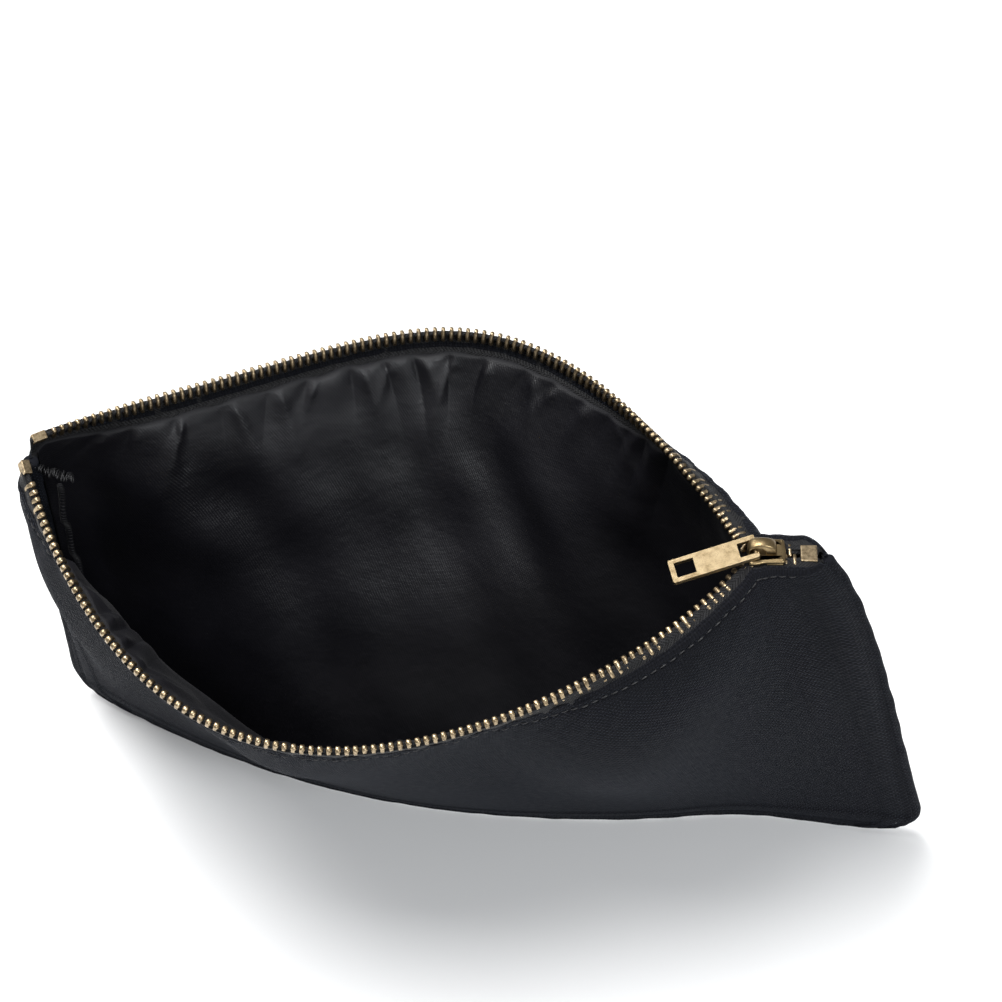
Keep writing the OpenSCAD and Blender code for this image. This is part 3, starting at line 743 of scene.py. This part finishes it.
def thread_lump(name):
    """The bartack at the left end: a close zigzag of thread over the folded tape ends."""
    rims = [lip(side, np.array(BARTACK_IN / RUN[side])) for side in (FRONT, BACK)]
    k = np.linspace(0, 1, 1100)
    rng = np.random.default_rng(3)
    x = mix(-3.2, 6.6, k) + 1.3 * scatter(rng, k, 60, 0.6)
    a = 2 * math.pi * BARTACK_TURNS * k
    y = 1.3 * np.sin(a) + scatter(rng, k, 70, 1.0)
    z = 0.8 * np.cos(a) - 0.45 * x + scatter(rng, k, 50, 0.6)
    path = (rims[0] + rims[1]) / 2 + BARTACK_MOVE + np.stack([x, y, z], -1)
    return band(name, tube_rings(path, 0.16, 6), k * 100, 0.3 * np.arange(7))


# ---------------------------------------------------------------- slider

# distances are from the slider's nose, which points along -X; heights are from the rows'
# middle, and the crown's from just under the upper plate's top
PLATE_GAP, PLATE_THICK = 1.6, 1.0  # half the space between the plates, and one plate
NOSE_HALF, TAIL_HALF = 5.0, 4.3
FLANGE_LONG, FLANGE_IN, FLANGE_THICK, FLANGE_AIR = (5.8, 10.5), 3.42, 0.83, 0.75
OVERLAP = 0.1                      # depth by which flanges and wedge sink into the plates
CROWN_MIDDLE, CROWN_HALF, CROWN_HEIGHT = 4.6, 4.0, 3.9
WINDOW_MIDDLE, WINDOW_HALF, WINDOW_FLOOR, WINDOW_HEIGHT = 3.45, 2.35, 0.15, 2.2
CROWN_SOFT = 0.28


def outline(points, rounding, count=10):
    """A closed outline with each corner rounded by a parabola's arc of about that size."""
    pts = np.asarray(points, float)
    before, after = np.roll(pts, 1, 0), np.roll(pts, -1, 0)
    r = np.minimum(rounding, 0.45 * np.minimum(np.linalg.norm(before - pts, axis=1),
                                               np.linalg.norm(after - pts, axis=1)))
    a = pts + unit(before - pts) * r[:, None]
    b = pts + unit(after - pts) * r[:, None]
    t = np.linspace(0, 1, count)[:, None]
    return np.concatenate([(1 - t) ** 2 * a[i] + 2 * t * (1 - t) * pts[i] + t * t * b[i]
                           for i in range(len(pts))])


def plate(shape, levels):
    """A plate lofted from one outline: levels are (height, inset) pairs from low to high.
    The inset moves each point towards the outline's middle line."""
    course = np.gradient(shape, axis=0)
    inwards = unit(np.stack([-course[:, 1], course[:, 0]], -1))
    rings = [np.column_stack([shape + inwards * inset_by, np.full(len(shape), z)])
             for z, inset_by in levels]
    return loft(np.stack(rings))


def joined(name, parts, place):
    """One object from several closed forms, moved to its place."""
    points, faces, base = [], [], 0
    for p, f in parts:
        points.append(p)
        faces += [[v + base for v in face] for face in f]
        base += len(p)
    return new_mesh(name, np.concatenate(points) + place, faces)


def slider_body(name):
    """Two rounded plates with a flared nose, joined by a wedge and held by side flanges."""
    gap, high = PLATE_GAP, PLATE_GAP + PLATE_THICK
    half, tail = NOSE_HALF, TAIL_HALF
    corner = [(0.9, -2.3), (0.4, -3.6), (1.2, -half), (3.3, -half * 0.98), (4.9, -tail),
              (11.0, -tail + 0.1), (SLIDER_LENGTH, 0), (11.0, tail - 0.1), (4.9, tail),
              (3.3, half * 0.98), (1.2, half), (0.4, 3.6), (0.9, 2.3)]
    shape = outline(corner, 0.9, 7)
    parts = [plate(shape, [(gap, 0.12), (gap + 0.12, 0.0), (high - 0.35, 0.0),
                           (high - 0.12, 0.12), (high, 0.38), (high + 0.12, 1.3),
                           (high + 0.16, 2.2)]),
             plate(shape, [(-high, 0.4), (0.12 - high, 0.12), (0.35 - high, 0.0),
                           (-gap - 0.12, 0.0), (-gap, 0.12)])]
    x0, x1 = FLANGE_LONG
    end = gap + OVERLAP
    for y0 in (-FLANGE_IN - FLANGE_THICK, FLANGE_IN):
        y1 = y0 + FLANGE_THICK
        side = outline([(x0, y0), (x1, y0), (x1, y1), (x0, y1)], 0.25, 4)
        parts.append(plate(side, [(-end, 0), (-FLANGE_AIR, 0)]))
        parts.append(plate(side, [(FLANGE_AIR, 0), (end, 0)]))
    wedge = np.array([(0.9, -0.6), (2.6, -0.15), (2.6, 0.15), (0.9, 0.6)])
    parts.append(plate(wedge, [(-end, 0), (end, 0)]))
    return joined(name, parts, (NOSE[0], NOSE[1], ROW_Z))


def slider_crown(name):
    """The bridge over the plate that holds the pull tab's bar: a rounded band swept over
    an arch, thick at its feet."""
    a = math.pi * (1 - np.linspace(0, 1, 40))
    outer = np.stack([CROWN_MIDDLE + CROWN_HALF * np.cos(a),
                      CROWN_HEIGHT * np.abs(np.sin(a)) ** 0.6], -1)
    window = np.stack([WINDOW_MIDDLE + WINDOW_HALF * np.sign(np.cos(a)) * np.abs(np.cos(a)) ** 0.6,
                       WINDOW_FLOOR + WINDOW_HEIGHT * np.abs(np.sin(a)) ** 0.45], -1)
    window[:, 1] = np.minimum(window[:, 1], outer[:, 1] - 0.6 * np.sin(a))
    window[:, 1] = np.maximum(window[:, 1], 0)
    width = col(1.6 + 0.25 * np.cos(a) ** 2)
    d = unit(outer - window)
    e = CROWN_SOFT
    # each ring's corners: a point of the arch's section, and where it lies across the band
    ring = [(window, -width), (window + d * e * 0.2, -width), (outer - d * e, -width),
            (outer, -width + e * 1.3), (outer + d * 0.12, 0 * width), (outer, width - e * 1.3),
            (outer - d * e, width), (window, width)]
    rings = np.stack([np.concatenate([p[:, :1], y, p[:, 1:]], 1) for p, y in ring], 1)
    foot = ROW_Z + PLATE_GAP + PLATE_THICK - 0.02
    return joined(name, [loft(rings)], (NOSE[0], NOSE[1], foot))


# ---------------------------------------------------------------- materials


class Nodes:
    """Short names for building one material or node group."""

    def __init__(self, tree):
        self.tree = tree

    def add(self, kind, **values):
        node = self.tree.nodes.new(kind)
        for key, value in values.items():
            setattr(node, key, value)
        return node

    def put(self, socket, value):
        """Links a socket to another node's output, or sets it to a number or a colour."""
        if isinstance(value, bpy.types.NodeSocket):
            self.tree.links.new(value, socket)
        else:
            socket.default_value = (*value, 1) if isinstance(value, tuple) else value

    def math(self, op, a, b=None, clamp=False):
        node = self.add("ShaderNodeMath", operation=op, use_clamp=clamp)
        self.put(node.inputs[0], a)
        if b is not None:
            self.put(node.inputs[1], b)
        return node.outputs[0]

    def split(self, vector):
        """The vector's x, y and z."""
        node = self.add("ShaderNodeSeparateXYZ")
        self.put(node.inputs[0], vector)
        return node.outputs

    def noise(self, vector, scale, detail=3.0, rough=0.5):
        node = self.add("ShaderNodeTexNoise")
        values = {"Vector": vector, "Scale": scale, "Detail": detail, "Roughness": rough}
        for key, value in values.items():
            self.put(node.inputs[key], value)
        return node.outputs["Fac"]

    def ramp(self, value, *stops):
        """A value's colour between stops of (place, colour or grey)."""
        node = self.add("ShaderNodeValToRGB")
        self.put(node.inputs["Fac"], value)
        ramp = node.color_ramp
        while len(ramp.elements) < len(stops):
            ramp.elements.new(0.5)
        for element, (place, colour) in zip(ramp.elements, stops):
            element.position = place
            shade = colour if isinstance(colour, tuple) else (colour,) * 3
            element.color = (*shade, 1)
        return node.outputs["Color"]

    def mix_colour(self, fac, a, b, mode="MIX"):
        node = self.add("ShaderNodeMix", data_type="RGBA", blend_type=mode)
        for index, value in ((0, fac), (6, a), (7, b)):
            self.put(node.inputs[index], value)
        return node.outputs[2]

    def bump(self, height, strength, distance, normal=None):
        node = self.add("ShaderNodeBump")
        node.inputs["Strength"].default_value = strength
        node.inputs["Distance"].default_value = distance
        self.put(node.inputs["Height"], height)
        if normal is not None:
            self.put(node.inputs["Normal"], normal)
        return node.outputs["Normal"]

    def group(self, tree, **values):
        """A node group with its inputs set by name; gives its outputs."""
        node = self.add("ShaderNodeGroup", node_tree=tree)
        for key, value in values.items():
            self.put(node.inputs[key], value)
        return node.outputs


def material(name):
    mat = bpy.data.materials.new(name)
    mat.use_nodes = True
    tree = mat.node_tree
    return mat, Nodes(tree), tree.nodes["Principled BSDF"]


def node_group(name, inputs, outputs):
    """An empty group with named sockets: inputs pairs each name with its kind, and every
    output is a number."""
    tree = bpy.data.node_groups.new(name, "ShaderNodeTree")
    for key, kind in inputs.items():
        tree.interface.new_socket(name=key, in_out="INPUT", socket_type="NodeSocket" + kind)
    for key in outputs:
        tree.interface.new_socket(name=key, in_out="OUTPUT", socket_type="NodeSocketFloat")
    n = Nodes(tree)
    return tree, n, n.add("NodeGroupInput").outputs, n.add("NodeGroupOutput").inputs


def weave_group():
    """Plain weave height: crossing yarns, each over one and under one. The cloth's vector is
    in metres, Turn is half a turn for each yarn's width, and Lean offsets each row, which
    turns the weave into a twill."""
    tree, n, given, result = node_group(
        "weave", {"Cloth": "Vector", "Turn": "Float", "Lean": "Float"}, ("Height",))
    place = n.split(given["Cloth"])
    y = n.math("MULTIPLY", place[1], given["Turn"])
    x = n.math("ADD", n.math("MULTIPLY", place[0], given["Turn"]),
               n.math("MULTIPLY", y, given["Lean"]))
    sx, sy = n.math("SINE", x), n.math("SINE", y)
    both = n.math("ADD", n.math("MULTIPLY", n.math("ABSOLUTE", sx), 0.5),
                  n.math("MULTIPLY", n.math("ABSOLUTE", sy), 0.5))
    over = n.math("MULTIPLY", n.math("MULTIPLY", sx, sy), 0.5)
    n.put(result["Height"], n.math("ADD", over, both))
    return tree


def tarnish_group():
    """Soft patches with fine pits in them, for aged metal."""
    tree, n, given, result = node_group(
        "tarnish", {"Place": "Vector", "Scale": "Float"}, ("Patches", "Pits"))
    patches = n.noise(given["Place"], given["Scale"], 5.0, 0.62)
    pits = n.noise(given["Place"], n.math("MULTIPLY", given["Scale"], 7.0), 3.0, 0.6)
    n.put(result["Patches"], n.math("ADD", n.math("MULTIPLY", patches, 0.7),
                                    n.math("MULTIPLY", pits, 0.3)))
    n.put(result["Pits"], pits)
    return tree


WEAVE, TARNISH = weave_group(), tarnish_group()


def weave(n, cloth_place, yarn, lean=0.0):
    """Height of a weave whose yarns are this wide, in metres."""
    return n.group(WEAVE, Cloth=cloth_place, Turn=math.pi / yarn, Lean=lean)["Height"]


def cloth_vector(n, wobble):
    """The piece's UV with a little drift, so that yarns don't run dead straight."""
    uv = n.add("ShaderNodeUVMap", uv_map="UVMap").outputs["UV"]
    noise = n.add("ShaderNodeTexNoise")
    n.put(noise.inputs["Vector"], uv)
    noise.inputs["Scale"].default_value = 90.0
    push = n.add("ShaderNodeVectorMath", operation="MULTIPLY")
    n.put(push.inputs[0], noise.outputs["Color"])
    push.inputs[1].default_value = (wobble, wobble, 0)
    add = n.add("ShaderNodeVectorMath", operation="ADD")
    n.put(add.inputs[0], uv)
    n.put(add.inputs[1], push.outputs[0])
    return uv, add.outputs[0]


def object_place(n):
    return n.add("ShaderNodeTexCoord").outputs["Object"]


def cloth_gloss(shader, specular, sheen, sheen_rough=0.5):
    shader.inputs["Specular IOR Level"].default_value = specular
    shader.inputs["Sheen Weight"].default_value = sheen
    shader.inputs["Sheen Roughness"].default_value = sheen_rough


# yarn widths and the tape's ribs, in metres
CANVAS_YARN, SATIN_YARN, TAPE_YARN = 0.00085, 0.00042, 0.0004
RIB_PITCH, RIB_COLUMN = 0.0011, 0.0021
SATIN_HEM = 0.0018               # the lining's dull turned top


def lint(n, uv):
    """Mask of a few small specks: round spots in the rarest cells."""
    speck = n.add("ShaderNodeTexVoronoi", feature="F1")
    n.put(speck.inputs["Vector"], uv)
    speck.inputs["Scale"].default_value = 95.0
    near = n.math("LESS_THAN", speck.outputs["Distance"], 0.022)
    rare = n.add("ShaderNodeSeparateColor")
    n.put(rare.inputs[0], speck.outputs["Color"])
    return n.math("MULTIPLY", near, n.math("GREATER_THAN", rare.outputs[0], 0.93))


def canvas_material():
    """Blue-black cotton canvas: plain weave, faint slubs, a few pale specks of lint, and painted
    shade in the weave's dips with a painted highlight on its crests.
    """
    mat, n, shader = material("canvas")
    uv, drift = cloth_vector(n, 0.0006)
    height = weave(n, drift, CANVAS_YARN)
    slub = n.noise(uv, 420.0, 2.0)
    broad = n.noise(object_place(n), 14.0)
    tone = n.ramp(broad, (0.3, (0.0034, 0.0037, 0.0054)), (0.7, (0.0054, 0.0058, 0.0082)))
    # painted shade and highlight: the colour darkens where the weave dips and brightens on its
    # crests
    yarn = n.ramp(height, (0.1, 0.45), (0.9, 1.35))
    tone = n.mix_colour(1.0, tone, yarn, "MULTIPLY")
    tone = n.mix_colour(lint(n, uv), tone, (0.32, 0.32, 0.33))
    n.put(shader.inputs["Base Color"], tone)
    n.put(shader.inputs["Roughness"], n.ramp(slub, (0.3, 0.78), (0.7, 0.94)))
    cloth_gloss(shader, 0.12, 0.035, 0.4)
    shader.inputs["Sheen Tint"].default_value = (0.55, 0.66, 0.9, 1)
    coarse = n.bump(slub, 0.3, 0.0004)
    n.put(shader.inputs["Normal"], n.bump(height, 0.9, 0.0004, coarse))
    return mat


def satin_material():
    """Black satin lining: fine slanted threads and a soft, uneven gloss."""
    mat, n, shader = material("lining")
    uv, drift = cloth_vector(n, 0.0003)
    height = weave(n, drift, SATIN_YARN, 0.5)
    broad = n.noise(object_place(n), 35.0)
    tone = n.ramp(broad, (0.3, (0.0030, 0.0030, 0.0045)), (0.7, (0.0055, 0.0053, 0.0075)))
    n.put(shader.inputs["Base Color"], tone)
    past_hem = n.math("DIVIDE", n.split(uv)[1], SATIN_HEM, clamp=True)
    gloss = n.ramp(broad, (0.25, 0.34), (0.75, 0.46))
    n.put(shader.inputs["Roughness"], n.mix_colour(past_hem, (0.95, 0.95, 0.95), gloss))
    cloth_gloss(shader, 0.42, 0.02, 0.3)
    crumple = n.bump(n.noise(uv, 120.0, 4.0, 0.6), 0.35, 0.0012)
    n.put(shader.inputs["Normal"], n.bump(height, 0.4, 0.00014, crumple))
    return mat


def tape_material():
    """Black zipper tape: herringbone ribs that turn back along lines down the tape, with painted
    shade between the ribs, a painted highlight on them and painted glints.
    """
    mat, n, shader = material("tape")
    uv, drift = cloth_vector(n, 0.0002)
    place = n.split(drift)
    fold = n.math("PINGPONG", place[1], RIB_COLUMN)
    run = n.math("ADD", place[0], n.math("MULTIPLY", fold, 1.1))
    rib = n.math("ABSOLUTE", n.math("SINE", n.math("MULTIPLY", run, math.pi / RIB_PITCH)))
    fine = weave(n, drift, TAPE_YARN)
    height = n.math("ADD", n.math("MULTIPLY", rib, 0.7), n.math("MULTIPLY", fine, 0.3))
    # painted shade and highlight: the colour darkens between the ribs and brightens on them
    tone = n.ramp(height, (0.15, (0.001, 0.001, 0.0013)), (0.85, (0.008, 0.008, 0.0092)))
    grain = n.noise(uv, 2600.0, 2.0)
    # painted glints: sparse pale specks mixed into the tape's colour
    glint_specks = n.math("MULTIPLY", n.math("GREATER_THAN", grain, 0.66), 0.5)
    n.put(shader.inputs["Base Color"], n.mix_colour(glint_specks, tone, (0.03, 0.03, 0.033)))
    n.put(shader.inputs["Roughness"], n.ramp(grain, (0.3, 0.5), (0.7, 0.75)))
    cloth_gloss(shader, 0.25, 0.02)
    n.put(shader.inputs["Normal"], n.bump(height, 0.9, 0.0003))
    return mat


def thread_material():
    """Black polyester thread: tight twist and a little shine."""
    mat, n, shader = material("thread")
    grain = n.noise(object_place(n), 2500.0, 2.0)
    tone = n.ramp(grain, (0.3, (0.003, 0.003, 0.004)), (0.75, (0.007, 0.007, 0.0085)))
    n.put(shader.inputs["Base Color"], tone)
    n.put(shader.inputs["Roughness"], n.ramp(grain, (0.3, 0.4), (0.7, 0.65)))
    n.put(shader.inputs["Normal"], n.bump(grain, 0.5, 0.0001))
    return mat


def brass_material(name, bright, dark, patch_scale, spread):
    """Antique brass: polished metal with brown tarnish in soft patches and fine pits."""
    mat, n, shader = material(name)
    tarnish = n.group(TARNISH, Place=object_place(n), Scale=patch_scale)
    patches = tarnish["Patches"]
    tone = n.ramp(patches, (0.5 - spread, dark), (0.5 + spread, bright))
    n.put(shader.inputs["Base Color"], tone)
    shader.inputs["Metallic"].default_value = 1.0
    n.put(shader.inputs["Roughness"], n.ramp(patches, (0.35, 0.46), (0.65, 0.27)))
    n.put(shader.inputs["Normal"], n.bump(tarnish["Pits"], 0.12, 0.0001))
    return mat


canvas_mat = canvas_material()
satin_mat = satin_material()
tape_mat = tape_material()
thread_mat = thread_material()
teeth_mat = brass_material("brass", (0.56, 0.44, 0.28), (0.14, 0.10, 0.055), 1100.0, 0.12)
slider_mat = brass_material("slider_metal", (0.40, 0.30, 0.16), (0.11, 0.075, 0.035), 260.0, 0.2)
tab_mat = brass_material("tab_metal", (0.42, 0.33, 0.20), (0.16, 0.115, 0.06), 420.0, 0.14)

# ---------------------------------------------------------------- pieces


def soft(obj, mat, slot, *nodes):
    """A piece of the bag: given its material, the CAD parts it stands for hidden, attached to the
    bag's body, with a mesh of its own.
    """
    obj.data.materials.append(mat)
    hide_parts(*nodes)
    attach(obj, "bag")
    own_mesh(obj)
    return obj


def firm(obj, mat, body, node):
    """A rigid metal piece that moves with one body."""
    obj.data.materials.append(mat)
    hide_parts(node)
    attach(obj, body)
    return obj


front_canvas = soft(canvas_panel(FRONT, "canvas_front"), canvas_mat, "canvas", "front_panel")
back_canvas = soft(canvas_panel(BACK, "canvas_back"), canvas_mat, "canvas", "back_panel")
soft(turned_edge("turned_edge"), canvas_mat, "canvas",
     "left_side_seam", "right_side_seam", "bottom_seam")
front_satin = soft(lining_panel(FRONT, "lining_front"), satin_mat, "lining", "front_lining")
back_satin = soft(lining_panel(BACK, "lining_back"), satin_mat, "lining", "back_lining")
for side, word in ((FRONT, "front"), (BACK, "back")):
    strip = soft(tape_strip(side, "tape_" + word), tape_mat, "tape", word + "_tape")
    cord = soft(cord_tube(side, "tape_cord_" + word), tape_mat, "tape", word + "_tape_cord")
    soft(teeth_row(side, "teeth_" + word), teeth_mat, "brass", word + "_teeth")
    soft(topstitch(side, "topstitch_" + word), thread_mat, "thread", word + "_stitching")
    soft(cad_copy(word + "_top_stop", "top_stop_" + word, 0.3), teeth_mat, "brass",
         word + "_top_stop")
for word, u, toward, waver in (("left", 0.0, 1, 1.2), ("right", 1.0, -1, 0.0)):
    strip, coil = overlock("overlock_" + word, u, toward, waver)
    soft(strip, satin_mat, "lining", word + "_lining_seam")
    soft(coil, thread_mat, "thread")
soft(thread_lump("bartack"), thread_mat, "thread", "left_bartack")
firm(cad_copy("bottom_stop", "box_stop", 0.35), teeth_mat, "bag", "bottom_stop")
firm(slider_body("slider_plates"), slider_mat, "slider", "slider_body")
firm(slider_crown("slider_bridge"), slider_mat, "slider", "slider_crown")
firm(cad_copy("pull_tab", "tab_plate", 0.22), tab_mat, "pull_tab", "pull_tab")

# ---------------------------------------------------------------- camera, light and floor

ELEVATION, TURN = math.radians(50.0), math.radians(0.78)
CAMERA_TARGET = (-0.00075, 0.06351, 0.080)
LENS, SENSOR = 115.2, 36.0
FLOOR_HALF = 3000.0              # millimetres


def camera():
    """Looks down from the front at 50 degrees, one metre from its target."""
    up_angle, turn = ELEVATION, TURN
    back = Vector((math.sin(turn) * math.cos(up_angle), -math.cos(turn) * math.cos(up_angle),
                   math.sin(up_angle)))
    right = Vector((math.cos(turn), math.sin(turn), 0))
    up = back.cross(right)
    target = Vector(CAMERA_TARGET)
    data = bpy.data.cameras.new("camera")
    data.lens = LENS
    data.sensor_width = SENSOR
    obj = bpy.data.objects.new("camera", data)
    turned = Matrix((right, up, back)).transposed().to_4x4()
    obj.matrix_world = Matrix.Translation(target + back) @ turned
    bpy.context.scene.collection.objects.link(obj)
    bpy.context.scene.camera = obj


def area_light(name, place, aim, size, power, tint=(1, 1, 1)):
    data = bpy.data.lights.new(name, "AREA")
    data.shape = "RECTANGLE"
    data.size, data.size_y = size
    data.energy = power
    data.color = tint
    obj = bpy.data.objects.new(name, data)
    obj.location = place
    obj.rotation_euler = (Vector(aim) - Vector(place)).to_track_quat("-Z", "Y").to_euler()
    bpy.context.scene.collection.objects.link(obj)


def studio():
    """White surroundings, three soft lights and a pale floor."""
    scene = bpy.context.scene
    scene.view_settings.view_transform = "Standard"
    world = bpy.data.worlds.new("studio")
    scene.world = world
    world.use_nodes = True
    world.node_tree.nodes["Background"].inputs["Color"].default_value = (1, 1, 1, 1)
    world.node_tree.nodes["Background"].inputs["Strength"].default_value = 0.34
    area_light("top_soft", (-0.35, 0.1, 1.3), (0, 0.02, 0.08), (0.8, 0.6), 22.0)
    area_light("front_soft", (0.7, -1.0, 1.1), (0, 0, 0.07), (0.5, 0.4), 13.0, (0.94, 0.97, 1))
    area_light("back_soft", (-0.9, 0.9, 0.9), (0, 0, 0.07), (0.9, 0.6), 7.0)
    mat, _, shader = material("floor")
    shader.inputs["Base Color"].default_value = (0.93, 0.93, 0.93, 1)
    shader.inputs["Roughness"].default_value = 0.9
    x, y = FLOOR_HALF, FLOOR_HALF
    corners = np.array([(-x, -y, 0), (x, -y, 0), (x, y, 0), (-x, y, 0)])
    floor = new_mesh("floor", corners, [[0, 1, 2, 3]])
    floor.data.materials.append(mat)


camera()
studio()
